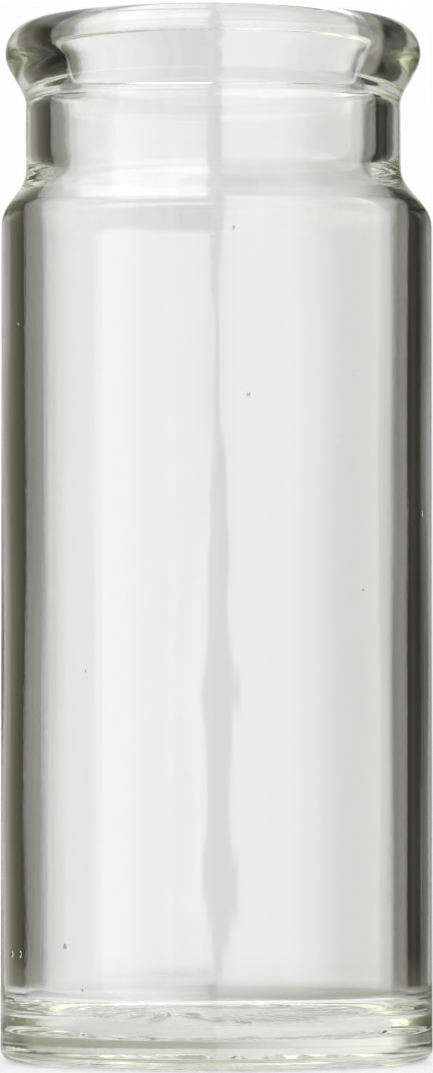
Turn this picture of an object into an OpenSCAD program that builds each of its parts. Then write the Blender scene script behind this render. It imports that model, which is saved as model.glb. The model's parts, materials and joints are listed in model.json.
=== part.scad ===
// Clear glass sample vial with an open mouth, a flared lip and a thick base.
// Origin: centre of the ring it stands on. +Z runs up through the mouth.

/* [Body] */
// Outside diameter of the straight body
body_d = 25; // [24.4:0.1:27]
// Height from the standing ring to the top of the lip
total_h = 60.3; // [45:0.1:90]
// Thickness of the body wall
body_wall = 1.4; // [1.2:0.05:1.8]

/* [Shoulder] */
// Distance from the top of the lip down to the start of the shoulder
shoulder_drop = 12; // [11.5:0.1:16]
// Slope of the shoulder, measured from upright
shoulder_angle = 38; // [34:1:44]
// Radius of the shoulder's outward bend, on the outside of the glass
shoulder_round = 2.15; // [2:0.05:2.4]
// Radius of the shoulder's inward bend, on the outside of the glass
shoulder_cove = 2.15; // [1.6:0.05:2.3]
// How far the shoulder starts higher on the inside, where the glass is thinner
inner_rise = 0.4; // [0:0.05:0.6]
// Radius of the shoulder's bend at the body wall, on the inside of the glass
inner_round = 0.75; // [0.5:0.05:1.2]

/* [Neck and lip] */
// Outside diameter of the straight neck
neck_d = 21.8; // [20:0.1:21.8]
// Thickness of the neck wall
neck_wall = 1.5; // [1.4:0.05:1.7]
// Outside diameter of the lip at its widest
lip_d = 24.2; // [23.8:0.1:25]
// Radius of the lip's rounded outer edge
lip_round = 1.85; // [1.6:0.05:2]
// Slope of the flare under the lip, measured from upright
flare_angle = 29; // [24:1:34]
// Radius of the bend where the flare leaves the neck
flare_cove = 2; // [1:0.1:2.2]

/* [Base] */
// Thickness of the base, from the standing ring up to the floor inside
base_t = 1.6; // [1.1:0.05:2.5]
// Radius of the inside corner between the floor and the wall
floor_round = 2.5; // [1.5:0.05:3.2]
// Radius of the heel, the outer bottom edge
heel_round = 0.75; // [0.4:0.05:1]
// Diameter of the shallow hollow under the base
dish_d = 19; // [16:0.1:21]
// Depth of the shallow hollow under the base
dish_depth = 0.3; // [0.1:0.05:0.5]

/* [Hidden] */
$fn = 128;

body_r = body_d / 2;
neck_r = neck_d / 2;
lip_r = lip_d / 2;
cavity_r = body_r - body_wall;
bore_r = neck_r - neck_wall;
shoulder_z = total_h - shoulder_drop;

// The lip's crest is the ring where its outer and inner roundings meet.
crest_r = lip_r - lip_round;
crest_round = crest_r - bore_r;

// The bend into the neck keeps one wall's thickness.
inner_cove = shoulder_cove + neck_wall;
inner_shoulder_z = shoulder_z + inner_rise;

// The hollow under the base is a cap of a large sphere.
dish_r = dish_d / 2;
dish_sphere = (dish_r * dish_r + dish_depth * dish_depth) / (2 * dish_depth);

function dir(a) = [cos(a), sin(a)];

// Length of the straight slope between the two bends of a step from radius wide to radius narrow.
function slope_length(wide, narrow, bend, cove, a) =
    (wide - narrow - (bend + cove) * (1 - cos(a))) / sin(a);

// Centre of the outward bend, the two ends of the slope, centre of the inward bend and its far end.
// The step starts at height 0 and rises.
function step_points(wide, narrow, bend, cove, a) =
    let (
        c1 = [wide - bend, 0],
        p1 = c1 + bend * dir(a),
        p2 = p1 + slope_length(wide, narrow, bend, cove, a) * dir(a + 90),
        c2 = p2 + cove * dir(a)
    )
    [c1, p1, p2, c2, c2 - [cove, 0]];

// Half outline of a step from radius wide up to radius narrow, with an outward and an inward bend.
module step_outline(wide, narrow, bend, cove, a) {
    p = step_points(wide, narrow, bend, cove, a);
    difference() {
        polygon([[0, 0], p[0], p[1], p[2], p[3], p[4], [0, p[4][1]]]);
        translate(p[3]) circle(cove);
    }
    translate(p[0]) circle(bend);
}

// Half outline of a straight length with a rounded bottom corner.
module foot_outline(r, corner, h) {
    square([r - corner, h]);
    translate([0, corner]) square([r, h - corner]);
    translate([r - corner, corner]) circle(corner);
}

// Half outline of the outside of the glass, as if it were solid.
module outside_outline() {
    foot_outline(body_r, heel_round, shoulder_z);
    translate([0, shoulder_z])
        step_outline(body_r, neck_r, shoulder_round, shoulder_cove, shoulder_angle);
    square([neck_r, total_h - lip_round]);
    translate([0, total_h - lip_round])
        mirror([0, 1]) step_outline(lip_r, neck_r, lip_round, flare_cove, flare_angle);
    square([crest_r, total_h]);
}

// Half outline of the space inside, with the mouth running out through the top.
module cavity_outline() {
    translate([0, base_t]) foot_outline(cavity_r, floor_round, inner_shoulder_z - base_t);
    translate([0, inner_shoulder_z])
        step_outline(cavity_r, bore_r, inner_round, inner_cove, shoulder_angle);
    translate([0, base_t + floor_round]) square([bore_r, total_h]);
    translate([0, total_h - crest_round])
        difference() {
            square([crest_r, 2 * crest_round]);
            translate([crest_r, 0]) circle(crest_round);
        }
}

module glass_body() {
    color([0.86, 0.9, 0.87, 0.45])
        rotate_extrude()
            difference() {
                outside_outline();
                cavity_outline();
                translate([0, dish_depth - dish_sphere]) circle(dish_sphere, $fn = 360);
            }
}

glass_body();
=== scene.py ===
import json
import math
import random

import bpy
import numpy as np
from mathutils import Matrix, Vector, noise


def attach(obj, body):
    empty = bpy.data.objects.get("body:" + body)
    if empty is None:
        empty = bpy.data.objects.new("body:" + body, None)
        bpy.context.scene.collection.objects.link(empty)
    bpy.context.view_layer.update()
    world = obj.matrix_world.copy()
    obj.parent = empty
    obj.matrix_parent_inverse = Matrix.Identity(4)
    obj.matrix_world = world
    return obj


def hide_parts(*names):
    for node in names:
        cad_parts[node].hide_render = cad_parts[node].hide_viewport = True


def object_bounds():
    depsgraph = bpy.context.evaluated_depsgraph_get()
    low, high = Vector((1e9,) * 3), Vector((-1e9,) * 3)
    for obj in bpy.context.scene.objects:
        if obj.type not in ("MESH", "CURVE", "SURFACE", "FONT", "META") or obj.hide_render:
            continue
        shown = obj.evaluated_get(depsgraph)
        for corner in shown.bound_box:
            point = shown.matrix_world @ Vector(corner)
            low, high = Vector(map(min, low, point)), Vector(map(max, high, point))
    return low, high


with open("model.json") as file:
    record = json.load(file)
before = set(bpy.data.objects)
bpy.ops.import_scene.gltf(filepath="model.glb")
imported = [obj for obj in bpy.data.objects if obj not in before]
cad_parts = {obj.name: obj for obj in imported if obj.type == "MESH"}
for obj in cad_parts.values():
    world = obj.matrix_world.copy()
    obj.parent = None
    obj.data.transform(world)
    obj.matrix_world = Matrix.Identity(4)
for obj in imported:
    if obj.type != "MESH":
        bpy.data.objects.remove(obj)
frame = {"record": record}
cadLow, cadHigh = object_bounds()
mm = 0.001
mounts = {m["name"]: m for m in frame["record"]["mounts"]}

# ---- camera: low and close to level, tipped up a little, long lens ----
cameraView = {
    "distance": 377 * mm,      # from the vial's axis
    "height": 18.3 * mm,       # above the floor
    "tipUp": 1.837,            # degrees
    "lens": 218.1,
}


def makeCamera(view):
    data = bpy.data.cameras.new("camera")
    data.lens = view["lens"]
    data.sensor_width = 36
    data.clip_start, data.clip_end = 0.01, 20
    camera = bpy.data.objects.new("camera", data)
    camera.location = (0, -view["distance"], view["height"])
    camera.rotation_euler = (math.radians(90 + view["tipUp"]), 0, 0)
    bpy.context.collection.objects.link(camera)
    bpy.context.scene.camera = camera
    return camera


camera = makeCamera(cameraView)
print("camera set")

# ---- the glass: sizes that the frame doesn't give, in millimetres ----
glassShape = {
    "bodyWall": 1.4, "neckWall": 1.5,
    "shoulderDrop": 12.0, "shoulderSlope": 38, "shoulderRound": 2.15, "shoulderCove": 2.15,
    "innerRise": 0.4, "innerRound": 0.75,
    "lipWidth": 24.2, "lipRound": 1.85, "flareSlope": 29, "flareCove": 2.0,
    "baseThickness": 1.6, "floorRound": 2.5, "heelRound": 0.75,
    "dishRadius": 9.5, "dishDepth": 0.3,
    "segments": 384,           # round the axis
    "rowStep": 0.42,           # along straight stretches
    "arcStep": 7,              # degrees along bends
}

# What a real moulded vial does that a turned one doesn't, in millimetres.
glassFlaws = {
    "innerWave": 0.03, "innerWaveWidth": 7.0, "innerWaveHeight": 11.0,
    "innerRipple": 0.006, "innerRippleWidth": 2.2, "innerRippleHeight": 9.0,
    "outerWave": 0.008, "outerWaveSize": 11.0,
    "lipWave": 0.05, "lipWaveSize": 9.0,
    "finishLean": 0.2,         # neck and lip sit this far off the body's axis
    "floorWave": 0.04, "floorWaveSize": 3.5, "floorRise": 0.05, "floorEdge": 8.6,
    "heelRidge": 0.004, "heelRidgePitch": 0.26, "heelRidgeTop": 1.5,
    "markCount": 40, "markDepth": 0.28, "markOnFloor": 0.14,
    "markInner": 3.4, "markOuter": 9.0, "markWidth": 0.6,
    "seed": 11,
}


def arc(centre, radius, start, end, step):
    count = max(2, round(abs(end - start) / step))
    angles = np.radians(np.linspace(start, end, count + 1))
    return [(centre[0] + radius * math.cos(a), centre[1] + radius * math.sin(a)) for a in angles]


def line(start, end, step):
    count = max(1, round(math.dist(start, end) / step))
    return [tuple(np.array(start) + (np.array(end) - np.array(start)) * i / count) for i in range(count + 1)]


# Bend out, slope, bend in: the way the wall steps from a wide radius up to a narrow one.
def stepOutline(wide, narrow, bend, cove, slope, step, rowStep):
    a = math.radians(slope)
    run = (wide - narrow - (bend + cove) * (1 - math.cos(a))) / math.sin(a)
    first = (wide - bend, 0.0)
    leave = (first[0] + bend * math.cos(a), bend * math.sin(a))
    reach = (leave[0] - run * math.sin(a), leave[1] + run * math.cos(a))
    second = (reach[0] + cove * math.cos(a), reach[1] + cove * math.sin(a))
    return (arc(first, bend, 0, slope, step) + line(leave, reach, rowStep)[1:-1]
            + arc(second, cove, 180 + slope, 180, step))


def raised(points, height, flip=1):
    return [(r, height + flip * z) for r, z in points]


# The outline runs from under the base, up the outside, over the lip, down the inside, to the floor's centre.
def glassOutline(shape):
    bodyR = mounts["body_outside"]["dims"]["r_mm"]
    boreR = mounts["mouth_bore"]["dims"]["r_mm"]
    topZ = cadHigh.z / mm
    neckR, lipR = boreR + shape["neckWall"], shape["lipWidth"] / 2
    innerR = bodyR - shape["bodyWall"]
    shoulderZ = topZ - shape["shoulderDrop"]
    heel, corner, rows, bends = shape["heelRound"], shape["floorRound"], shape["rowStep"], shape["arcStep"]
    dish, deep = shape["dishRadius"], shape["dishDepth"]
    crestR = lipR - shape["lipRound"]
    crestRound = crestR - boreR
    base = shape["baseThickness"]
    fine = rows / 2

    under = [(r, deep * (1 - (r / dish) ** 2)) for r in np.linspace(0, dish, round(dish / fine))]
    under += line((dish, 0), (bodyR - heel, 0), fine)[1:-1]
    foot = arc((bodyR - heel, heel), heel, -90, 0, bends)
    side = line((bodyR, heel), (bodyR, shoulderZ), rows)[1:-1]
    shoulder = raised(stepOutline(bodyR, neckR, shape["shoulderRound"], shape["shoulderCove"],
                                  shape["shoulderSlope"], bends, rows), shoulderZ)
    flare = raised(stepOutline(lipR, neckR, shape["lipRound"], shape["flareCove"],
                               shape["flareSlope"], bends, rows), topZ - shape["lipRound"], -1)[::-1]
    neck = line(shoulder[-1], flare[0], rows)[1:-1]
    lip = arc((crestR, topZ - shape["lipRound"]), shape["lipRound"], 0, 90, bends)[1:]
    mouth = arc((crestR, topZ - crestRound), crestRound, 90, 180, bends * 1.5)[1:]
    innerShoulder = raised(stepOutline(innerR, boreR, shape["innerRound"],
                                       shape["shoulderCove"] + shape["neckWall"],
                                       shape["shoulderSlope"], bends, rows),
                           shoulderZ + shape["innerRise"])[::-1]
    bore = line(mouth[-1], innerShoulder[0], rows)[1:-1]
    wall = line(innerShoulder[-1], (innerR, base + corner), rows)[1:-1]
    turn = arc((innerR - corner, base + corner), corner, 0, -90, bends)
    floor = line((innerR - corner, base), (0, base), fine)[1:]

    parts = {"under": under, "foot": foot, "side": side, "shoulder": shoulder, "neck": neck, "flare": flare,
             "lip": lip, "mouth": mouth, "bore": bore, "innerShoulder": innerShoulder, "wall": wall,
             "turn": turn, "floor": floor}
    points = [p for part in parts.values() for p in part]
    names = [name for name, part in parts.items() for _ in part]
    return np.array(points), names, shoulderZ


def smooth(low, high, value):
    t = min(max((value - low) / (high - low), 0), 1)
    return t * t * (3 - 2 * t)


# Slanted dashes moulded into the underside, so that it grips a shelf. Each has its own tilt and length.
def gripMarks(flaws):
    draw = random.Random(flaws["seed"])
    marks = []
    for i in range(flaws["markCount"]):
        angle = 2 * math.pi * (i + draw.uniform(-0.12, 0.12)) / flaws["markCount"]
        middle = draw.uniform(0.37, 0.63) * (flaws["markInner"] + flaws["markOuter"])
        length = draw.uniform(0.35, 0.65) * (flaws["markOuter"] - flaws["markInner"]) / 2
        marks.append((angle, middle, length, draw.uniform(0.2, 0.8), draw.uniform(0.6, 1.0)))
    return marks


def markHeight(r, angle, marks, flaws):
    if not flaws["markInner"] - 1 < r < flaws["markOuter"] + 1:
        return 0.0
    total = 0.0
    for markAngle, middle, length, tilt, strength in marks:
        turn = (angle - markAngle + math.pi) % (2 * math.pi) - math.pi
        if abs(turn) > 0.5:
            continue
        across, along = r * turn, r - middle
        sideways = across * math.cos(tilt) - along * math.sin(tilt)
        lengthways = across * math.sin(tilt) + along * math.cos(tilt)
        reach = smooth(length + 0.25, length - 0.25, abs(lengthways)) if length else 0
        total += strength * reach * math.exp(-(sideways / (flaws["markWidth"] / 2)) ** 2)
    return min(total, 1.2)


# How far each point of the outline moves along its own outward normal, in millimetres.
def flawAt(name, r, z, angle, flaws, marks):
    x, y = r * math.cos(angle), r * math.sin(angle)

    def wave(width, height, offset=0.0):
        return noise.noise(Vector((x / width + offset, y / width, z / height)))

    if name in ("wall", "bore", "innerShoulder", "turn"):
        slow = wave(flaws["innerWaveWidth"], flaws["innerWaveHeight"], 3.7)
        quick = wave(flaws["innerRippleWidth"], flaws["innerRippleHeight"], 8.1)
        return flaws["innerWave"] * slow + flaws["innerRipple"] * quick
    if name in ("side", "shoulder", "neck", "foot"):
        ridge = 0.0
        if z < flaws["heelRidgeTop"]:
            fade = smooth(flaws["heelRidgeTop"], 0.8, z) * smooth(0.1, 0.5, z)
            ridge = flaws["heelRidge"] * fade * math.sin(2 * math.pi * z / flaws["heelRidgePitch"])
        # only inwards, so that the body stays within its own size
        return -flaws["outerWave"] * (0.5 + 0.5 * wave(flaws["outerWaveSize"], flaws["outerWaveSize"], 1.3)) + ridge
    if name in ("flare", "lip", "mouth"):
        return -flaws["lipWave"] * (0.5 + 0.5 * wave(flaws["lipWaveSize"], flaws["lipWaveSize"], 5.2))
    if name == "floor":
        rise = flaws["floorRise"] * smooth(flaws["floorEdge"], 0, r)
        wavy = flaws["floorWave"] * wave(flaws["floorWaveSize"], flaws["floorWaveSize"], 2.4) * smooth(0, 2, r)
        return rise + wavy + flaws["markOnFloor"] * markHeight(r, angle, marks, flaws)
    if name == "under":
        return -flaws["markDepth"] * markHeight(r, angle, marks, flaws)
    return 0.0


def outlineNormals(points):
    along = np.gradient(points, axis=0)
    out = np.stack([along[:, 1], -along[:, 0]], axis=1)
    return out / np.maximum(np.linalg.norm(out, axis=1, keepdims=True), 1e-9)


# Closed voids inside the wall: gas seeds, drawn out a little along the vial.
def addSeeds(vertices, faces, flaws, midWall):
    draw = random.Random(flaws["seed"] + 1)
    seeds = [(-2.83, 6.3, 0.16), (-1.49, 47.4, 0.06)]
    seeds += [(draw.uniform(-math.pi, math.pi), draw.uniform(4, 46), draw.uniform(0.04, 0.1)) for _ in range(9)]
    rings, sides = 8, 12
    for angle, height, radius in seeds:
        centre = Vector((midWall * math.cos(angle), midWall * math.sin(angle), height))
        stretch = draw.uniform(1.2, 2.4)
        start = len(vertices)
        vertices.append(centre + Vector((0, 0, -radius * stretch)))
        for i in range(1, rings):
            tilt = -math.pi / 2 + math.pi * i / rings
            for j in range(sides):
                turn = 2 * math.pi * j / sides
                vertices.append(centre + Vector((radius * math.cos(tilt) * math.cos(turn),
                                                 radius * math.cos(tilt) * math.sin(turn),
                                                 radius * stretch * math.sin(tilt))))
        vertices.append(centre + Vector((0, 0, radius * stretch)))
        last = len(vertices) - 1
        for j in range(sides):
            k = (j + 1) % sides
            faces.append((start, start + 1 + j, start + 1 + k))
            top = start + 1 + (rings - 2) * sides
            faces.append((last, top + k, top + j))
            for i in range(rings - 2):
                a = start + 1 + i * sides
                faces.append((a + j, a + sides + j, a + sides + k, a + k))


def buildGlass(shape, flaws):
    points, names, shoulderZ = glassOutline(shape)
    normals = outlineNormals(points)
    marks = gripMarks(flaws)
    segments = shape["segments"]
    last = len(points) - 1
    vertices, faces = [], []
    for i, ((r, z), (nr, nz), name) in enumerate(zip(points, normals, names)):
        lean = flaws["finishLean"] * smooth(shoulderZ, shoulderZ + 4, z)
        if i in (0, last):
            vertices.append(Vector((-lean, 0, z)))
            continue
        for j in range(segments):
            angle = 2 * math.pi * j / segments
            move = flawAt(name, r, z, angle, flaws, marks)
            radius = r + nr * move
            vertices.append(Vector((radius * math.cos(angle) - lean, radius * math.sin(angle), z + nz * move)))
    ringStart = [0] + [1 + (i - 1) * segments for i in range(1, last)] + [1 + (last - 1) * segments]
    for j in range(segments):
        k = (j + 1) % segments
        faces.append((0, ringStart[1] + k, ringStart[1] + j))
        faces.append((ringStart[last], ringStart[last - 1] + j, ringStart[last - 1] + k))
        for i in range(1, last - 1):
            a, b = ringStart[i], ringStart[i + 1]
            faces.append((a + j, a + k, b + k, b + j))
    addSeeds(vertices, faces, flaws, mounts["body_outside"]["dims"]["r_mm"] - shape["bodyWall"] / 2)
    mesh = bpy.data.meshes.new("glassBody")
    mesh.from_pydata([v * mm for v in vertices], [], faces)
    mesh.shade_smooth()
    mesh.update()
    glass = bpy.data.objects.new("glassBody", mesh)
    bpy.context.collection.objects.link(glass)
    return glass


glass = buildGlass(glassShape, glassFlaws)
print("glass made:", len(glass.data.vertices), "points")

# ---- glass material ----
glassFinish = {
    "ior": 1.52,
    "tint": (0.84, 0.87, 0.68), "tintDensity": 18.0,     # what soda-lime glass takes out per metre
    "smudgeSize": 90.0, "smudged": 0.05,                 # roughness where it has been handled
    "drawSize": (750.0, 750.0, 26.0), "drawDepth": 0.006 * mm,
    "scratchSize": (260.0, 260.0, 900.0), "scratched": 0.10, "scratchWidth": 0.012,
    "rubHeight": 0.5 * mm, "rubbed": 0.15,               # the heel and the ring it stands on
    "dustSize": 1400.0, "dusted": 0.3,
    "pitSize": 2200.0, "pitDepth": 0.0015 * mm,
}


def addNode(tree, kind, **values):
    node = tree.nodes.new(kind)
    for name, value in values.items():
        if name in node.inputs:
            node.inputs[name].default_value = value
        else:
            setattr(node, name, value)
    return node


# Cloudy patches between two values: used for smears on the glass and for tone on the floor.
def mottleGroup():
    group = bpy.data.node_groups.new("mottle", "ShaderNodeTree")
    for name, kind, value in (("Place", "NodeSocketVector", None), ("Size", "NodeSocketFloat", 50.0),
                              ("From", "NodeSocketFloat", 0.5), ("To", "NodeSocketFloat", 0.8),
                              ("Low", "NodeSocketFloat", 0.0), ("High", "NodeSocketFloat", 1.0)):
        socket = group.interface.new_socket(name, in_out="INPUT", socket_type=kind)
        if value is not None:
            socket.default_value = value
    group.interface.new_socket("Value", in_out="OUTPUT", socket_type="NodeSocketFloat")
    start, end = addNode(group, "NodeGroupInput"), addNode(group, "NodeGroupOutput")
    cloud = addNode(group, "ShaderNodeTexNoise", Detail=5.0, Roughness=0.6)
    spread = addNode(group, "ShaderNodeMapRange", interpolation_type="SMOOTHSTEP")
    group.links.new(start.outputs["Place"], cloud.inputs["Vector"])
    group.links.new(start.outputs["Size"], cloud.inputs["Scale"])
    group.links.new(cloud.outputs["Fac"], spread.inputs["Value"])
    for name, socket in (("From", "From Min"), ("To", "From Max"), ("Low", "To Min"), ("High", "To Max")):
        group.links.new(start.outputs[name], spread.inputs[socket])
    group.links.new(spread.outputs["Result"], end.inputs["Value"])
    return group


mottle = mottleGroup()


def addMottle(tree, place, size, start, end, low, high):
    node = addNode(tree, "ShaderNodeGroup", node_tree=mottle)
    for name, value in (("Size", size), ("From", start), ("To", end), ("Low", low), ("High", high)):
        node.inputs[name].default_value = value
    tree.links.new(place, node.inputs["Place"])
    return node.outputs["Value"]


def mathNode(tree, operation, first, second):
    node = addNode(tree, "ShaderNodeMath", operation=operation)
    for socket, value in zip(node.inputs, (first, second)):
        if isinstance(value, (int, float)):
            socket.default_value = value
        else:
            tree.links.new(value, socket)
    return node.outputs[0]


def stretched(tree, place, scale):
    node = addNode(tree, "ShaderNodeMapping")
    node.inputs["Scale"].default_value = scale
    tree.links.new(place, node.inputs["Vector"])
    return node.outputs["Vector"]


# Hairline scratches are the edges of stretched cells; dust and pits are the middles of tiny ones.
def scratchMask(tree, place, finish):
    cells = addNode(tree, "ShaderNodeTexVoronoi", feature="DISTANCE_TO_EDGE", Scale=1.0)
    tree.links.new(stretched(tree, place, finish["scratchSize"]), cells.inputs["Vector"])
    thin = mathNode(tree, "LESS_THAN", cells.outputs["Distance"], finish["scratchWidth"])
    where = addMottle(tree, place, finish["smudgeSize"] * 0.6, 0.52, 0.66, 0.0, 1.0)
    return mathNode(tree, "MULTIPLY", thin, where)


def dustMask(tree, place, finish):
    cells = addNode(tree, "ShaderNodeTexVoronoi", Scale=finish["dustSize"])
    tree.links.new(place, cells.inputs["Vector"])
    specks = mathNode(tree, "LESS_THAN", cells.outputs["Distance"], 0.12)
    where = addMottle(tree, place, finish["smudgeSize"] * 2, 0.6, 0.75, 0.0, 1.0)
    return mathNode(tree, "MULTIPLY", specks, where)


def rubMask(tree, place, finish):
    height = addNode(tree, "ShaderNodeSeparateXYZ")
    tree.links.new(place, height.inputs[0])
    low = addNode(tree, "ShaderNodeMapRange", interpolation_type="SMOOTHSTEP")
    for name, value in (("From Min", finish["rubHeight"]), ("From Max", 0.0), ("To Min", 0.0), ("To Max", 1.0)):
        low.inputs[name].default_value = value
    tree.links.new(height.outputs["Z"], low.inputs["Value"])
    worn = addMottle(tree, place, 900.0, 0.5, 0.72, 0.0, 1.0)
    return mathNode(tree, "MULTIPLY", low.outputs["Result"], worn)


def glassRoughness(tree, place, finish):
    total = addMottle(tree, place, finish["smudgeSize"], 0.55, 0.8, 0.0, finish["smudged"])
    for mask, amount in ((scratchMask, "scratched"), (dustMask, "dusted"), (rubMask, "rubbed")):
        total = mathNode(tree, "ADD", total, mathNode(tree, "MULTIPLY", mask(tree, place, finish), finish[amount]))
    return total


# Faint upright lines from drawing the tube, then orange-peel pits over them.
def glassBump(tree, place, finish):
    lines = addNode(tree, "ShaderNodeTexNoise", Scale=1.0, Detail=3.0)
    tree.links.new(stretched(tree, place, finish["drawSize"]), lines.inputs["Vector"])
    drawn = addNode(tree, "ShaderNodeBump", Strength=1.0, Distance=finish["drawDepth"])
    tree.links.new(lines.outputs["Fac"], drawn.inputs["Height"])
    pits = addNode(tree, "ShaderNodeTexNoise", Scale=finish["pitSize"], Detail=2.0)
    tree.links.new(place, pits.inputs["Vector"])
    pitted = addNode(tree, "ShaderNodeBump", Strength=1.0, Distance=finish["pitDepth"])
    tree.links.new(pits.outputs["Fac"], pitted.inputs["Height"])
    tree.links.new(drawn.outputs["Normal"], pitted.inputs["Normal"])
    return pitted.outputs["Normal"]


def glassMaterial(finish):
    material = bpy.data.materials.new("clearGlass")
    material.use_nodes = True
    tree = material.node_tree
    tree.nodes.clear()
    link = tree.links.new
    output = addNode(tree, "ShaderNodeOutputMaterial")
    surface = addNode(tree, "ShaderNodeBsdfPrincipled")
    surface.inputs["Base Color"].default_value = (1, 1, 1, 1)
    surface.inputs["Metallic"].default_value = 0.0
    surface.inputs["Transmission Weight"].default_value = 1.0
    surface.inputs["IOR"].default_value = finish["ior"]
    link(surface.outputs["BSDF"], output.inputs["Surface"])
    absorb = addNode(tree, "ShaderNodeVolumeAbsorption")
    absorb.inputs["Color"].default_value = (*finish["tint"], 1)
    absorb.inputs["Density"].default_value = finish["tintDensity"]
    link(absorb.outputs["Volume"], output.inputs["Volume"])
    place = addNode(tree, "ShaderNodeTexCoord").outputs["Object"]
    link(glassRoughness(tree, place, finish), surface.inputs["Roughness"])
    link(glassBump(tree, place, finish), surface.inputs["Normal"])
    return material


glass.data.materials.append(glassMaterial(glassFinish))
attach(glass, "root")
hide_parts("glass_body")
print("glass finished")

# ---- studio: pale floor and a round light tent, which both stay where they are ----
studio = {
    "floorRadius": 3.0, "floorGap": 0.03 * mm,
    "floorTone": (0.44, 0.46), "floorGlow": 0.53,        # a lit white table, which keeps shadows faint
    "patch": (13 * mm, 17 * mm), "patchGlow": 0.5,      # the glass sees less glow beyond the lit patch
    "dashRadius": 10.4, "dashRings": 70, "dashTurns": 360,      # mm: faint shadows of the dashes, painted on the table
    "dashShade": 0.5,
    "backdrop": 0.985,
    "skyLight": 1.0,
    "tentRadius": 34 * mm, "tentFoot": 0.02 * mm, "tentTop": 150 * mm,
    "apronRadius": 15 * mm,    # the tent's cloth runs in over the table this far
    "apronShade": [(-8, 1), (2, 0.62), (34, 0.5), (38, 1)],     # its outer edge, against the tent over it
    "tentSteps": 720, "tentRows": 85,
    # round the tent: degrees from straight behind the vial toward the camera's right, brightness
    "tent": [
        (-180, 0.5), (-150, 0.62), (-140, 0.68), (-122, 0.54), (-103, 0.6), (-95, 0.2), (-88, 0.0), (-66, 0.04),
        (-56, 0.1), (-44, 0.12), (-38, 0.25), (-33, 0.32), (-29, 0.72), (-24, 0.87), (-15, 0.85), (-8, 0.74),
        (0, 0.68), (10, 0.65), (18, 0.57), (28, 0.54), (32, 0.4), (36, 0.05), (64, 0.01), (70, 0.24), (79, 0.2),
        (83, 0.5), (89, 0.8), (92, 2.1), (120, 2.2), (145, 2.8), (168, 2.9), (180, 2.3),
    ],
    # the same close to the table, where the dark panels stop short
    "skirt": [(-180, 0.7), (-60, 0.85), (-12, 0.7), (0, 0.46), (8, 0.38), (14, 0.3), (40, 0.32), (70, 0.5),
              (100, 0.8), (180, 0.8)],
    "skirtTop": (4.0, 2.2),    # mm above the floor: where it starts to show, where it is full
    # the same above the vial, where a soft light hangs over the panels
    "ceiling": [(-180, 2.2), (-100, 2.0), (-60, 1.0), (-30, 0.95), (0, 0.7), (30, 0.55), (60, 0.8), (100, 1.7),
                (180, 1.6)],
    "ceilingStart": (74, 84),
    # the camera and its stand, as the glass mirrors them: mm above the floor, half width, degrees off centre
    "stand": [(-20, 1, 0), (4, 1, 0), (6, 4.5, -1), (9.5, 13, -2), (14.5, 7.5, -2), (18, 9, -3), (21.5, 13.5, -4),
              (26, 8, -3), (30, 6, -1), (35, 5, -1), (38, 1.6, 0), (46, 1.2, 0), (50, 3, 0), (53, 4.5, 0),
              (150, 4.5, 0)],
    "standGlow": 0.85, "standSoft": 1.2, "standRagged": 0.18, "standSway": 0.5, "raggedSize": 2.6 * mm,
    "streaks": 0.035, "streakWidth": 1.3,                # uneven cloth: brightness, degrees
    "cool": 1.01, "warmth": 0.3,   # blue in the pale parts of the tent, and how much less the darkest have
}


# The stand's outline at a height, rounded between the stops.
def standAt(height, stops):
    after = min(max(1, sum(stop[0] < height for stop in stops)), len(stops) - 1)
    (low, *first), (high, *second) = stops[after - 1], stops[after]
    share = smooth(low, high, height)
    return [a + (b - a) * share for a, b in zip(first, second)]


def tentGlow(angle, height, settings):
    level = float(np.interp(angle, *zip(*settings["tent"])))
    skirt = float(np.interp(angle, *zip(*settings["skirt"])))
    level += (skirt - level) * smooth(*settings["skirtTop"], height / mm)
    ceiling = float(np.interp(angle, *zip(*settings["ceiling"])))
    level += (ceiling - level) * smooth(*settings["ceilingStart"], height / mm)
    level *= 1 + settings["streaks"] * noise.noise(Vector((4.1, angle / settings["streakWidth"], 0)))
    ragged = noise.noise(Vector((2.3, 0, height / settings["raggedSize"])))
    sway = noise.noise(Vector((7.9, 0, height / settings["raggedSize"] / 2)))
    half, shift = standAt(height / mm, settings["stand"])
    half *= 1 + settings["standRagged"] * ragged
    soft = settings["standSoft"]
    fromSeam = angle + shift + settings["standSway"] * sway - math.copysign(180, angle)
    hidden = smooth(half + soft, half - soft, abs(fromSeam))
    return level + (settings["standGlow"] - level) * hidden


def glowMaterial(name):
    material = bpy.data.materials.new(name)
    material.use_nodes = True
    material.cycles.emission_sampling = "NONE"
    tree = material.node_tree
    tree.nodes.clear()
    level = addNode(tree, "ShaderNodeAttribute", attribute_name="glow")
    glow = addNode(tree, "ShaderNodeEmission")
    output = addNode(tree, "ShaderNodeOutputMaterial")
    tree.links.new(level.outputs["Color"], glow.inputs["Color"])
    tree.links.new(glow.outputs["Emission"], output.inputs["Surface"])
    return material


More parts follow.
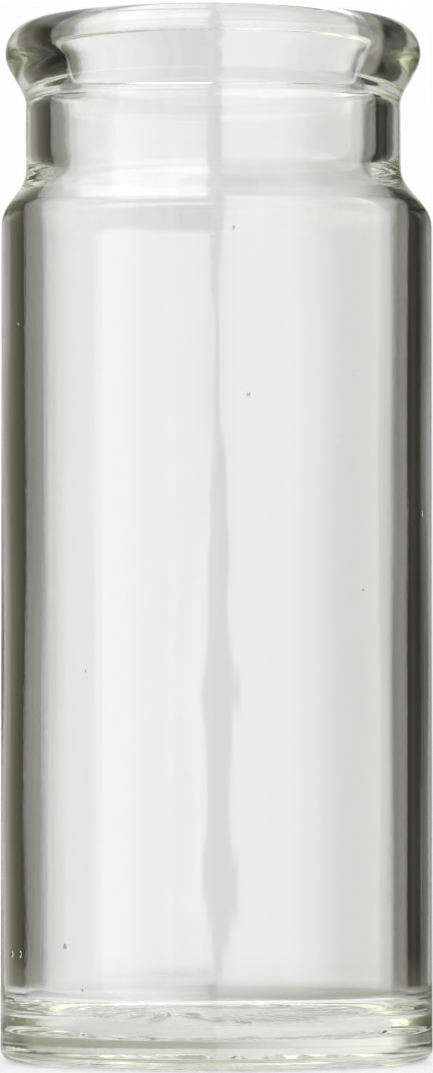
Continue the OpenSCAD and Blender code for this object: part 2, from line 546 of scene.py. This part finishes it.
def makeTent(settings):
    steps, rows = settings["tentSteps"], settings["tentRows"]
    vertices, faces, glows = [], [], []
    for i in range(steps + 1):
        angle = -180 + 360 * i / steps
        x, y = math.sin(math.radians(angle)), math.cos(math.radians(angle))
        for j in range(rows + 1):
            # the first two rows are the apron, flat on the table
            rise = max(0, j - 1) / (rows - 1)
            z = settings["tentFoot"] + (settings["tentTop"] - settings["tentFoot"]) * rise
            radius = settings["tentRadius"] if j else settings["apronRadius"]
            level = tentGlow(angle, z, settings)
            if j == 1:
                level = float(np.interp(angle, *zip(*settings["tent"])))
                level *= float(np.interp(angle, *zip(*settings["apronShade"])))
            vertices.append((radius * x, radius * y, z))
            blue = settings["cool"] - settings["warmth"] * smooth(0.62, 0.1, level)
            glows += (level, level, level * blue, 1)
            if i and j:
                a, b = (i - 1) * (rows + 1) + j - 1, i * (rows + 1) + j - 1
                faces.append((a, b, b + 1, a + 1))
    mesh = bpy.data.meshes.new("lightTent")
    mesh.from_pydata(vertices, [], faces)
    mesh.attributes.new("glow", "FLOAT_COLOR", "POINT").data.foreach_set("color", glows)
    mesh.materials.append(glowMaterial("lightTent"))
    tent = bpy.data.objects.new("lightTent", mesh)
    bpy.context.collection.objects.link(tent)
    tent.visible_camera = False
    tent.visible_diffuse = False
    tent.visible_shadow = False
    tent.visible_volume_scatter = False


# Fine rings under the vial carry painted shadows of its dashes, then one wide ring makes the table.
def makeFloor(settings, marks):
    turns = settings["dashTurns"]
    radii = [*np.linspace(0.2, settings["dashRadius"], settings["dashRings"]), settings["floorRadius"] / mm]
    vertices, shades, faces = [], [], [tuple(range(turns))]
    for i, radius in enumerate(radii):
        for j in range(turns):
            angle = 2 * math.pi * j / turns
            vertices.append((radius * mm * math.cos(angle), radius * mm * math.sin(angle), -settings["floorGap"]))
            # painted shadow: darker where a dash sits above this point
            shades.append(1 - settings["dashShade"] * min(1, markHeight(radius, angle, marks, glassFlaws)))
            if i:
                a, b, k = (i - 1) * turns, i * turns, (j + 1) % turns
                faces.append((a + j, b + j, b + k, a + k))
    mesh = bpy.data.meshes.new("floor")
    mesh.from_pydata(vertices, [], faces)
    mesh.attributes.new("shade", "FLOAT", "POINT").data.foreach_set("value", shades)
    floor = bpy.data.objects.new("floor", mesh)
    bpy.context.collection.objects.link(floor)
    material = bpy.data.materials.new("paleFloor")
    material.use_nodes = True
    material.cycles.emission_sampling = "NONE"
    tree = material.node_tree
    shader = tree.nodes["Principled BSDF"]
    shader.inputs["Roughness"].default_value = 1.0
    shader.inputs["Specular IOR Level"].default_value = 0.0
    shader.inputs["Emission Strength"].default_value = settings["floorGlow"]
    place = addNode(tree, "ShaderNodeTexCoord").outputs["Object"]
    away = addNode(tree, "ShaderNodeVectorMath", operation="LENGTH")
    tree.links.new(place, away.inputs[0])
    patch = addNode(tree, "ShaderNodeMapRange", interpolation_type="SMOOTHSTEP")
    for name, value in (("From Min", settings["patch"][0]), ("From Max", settings["patch"][1]),
                        ("To Min", 1.0), ("To Max", settings["patchGlow"])):
        patch.inputs[name].default_value = value
    tree.links.new(away.outputs["Value"], patch.inputs["Value"])
    # painted shadows of the dashes darken the table's glow and colour under the vial
    shade = addNode(tree, "ShaderNodeAttribute", attribute_name="shade").outputs["Fac"]
    lit = mathNode(tree, "MULTIPLY", patch.outputs["Result"], shade)
    seen = addNode(tree, "ShaderNodeLightPath").outputs["Is Camera Ray"]
    tree.links.new(mathNode(tree, "MAXIMUM", lit, seen), shader.inputs["Emission Color"])
    tone = addMottle(tree, place, 6.0, 0.3, 0.7, *settings["floorTone"])
    tree.links.new(mathNode(tree, "MULTIPLY", tone, shade), shader.inputs["Base Color"])
    mesh.materials.append(material)


def makeStudio(settings):
    makeFloor(settings, gripMarks(glassFlaws))
    world = bpy.data.worlds.new("studio")
    bpy.context.scene.world = world
    world.use_nodes = True
    tree = world.node_tree
    tree.nodes.clear()
    seen = addNode(tree, "ShaderNodeBackground")
    seen.inputs["Color"].default_value = (settings["backdrop"],) * 3 + (1,)
    lighting = addNode(tree, "ShaderNodeBackground")
    lighting.inputs["Color"].default_value = (settings["skyLight"],) * 3 + (1,)
    path = addNode(tree, "ShaderNodeLightPath")
    mix = addNode(tree, "ShaderNodeMixShader")
    output = addNode(tree, "ShaderNodeOutputWorld")
    tree.links.new(path.outputs["Is Camera Ray"], mix.inputs[0])
    tree.links.new(lighting.outputs[0], mix.inputs[1])
    tree.links.new(seen.outputs[0], mix.inputs[2])
    tree.links.new(mix.outputs[0], output.inputs["Surface"])
    makeTent(settings)


makeStudio(studio)
scene = bpy.context.scene
scene.view_settings.view_transform = "Standard"
scene.cycles.max_bounces = 128
scene.cycles.transmission_bounces = 128
scene.cycles.glossy_bounces = 64
scene.cycles.transparent_max_bounces = 16
print("studio lit")
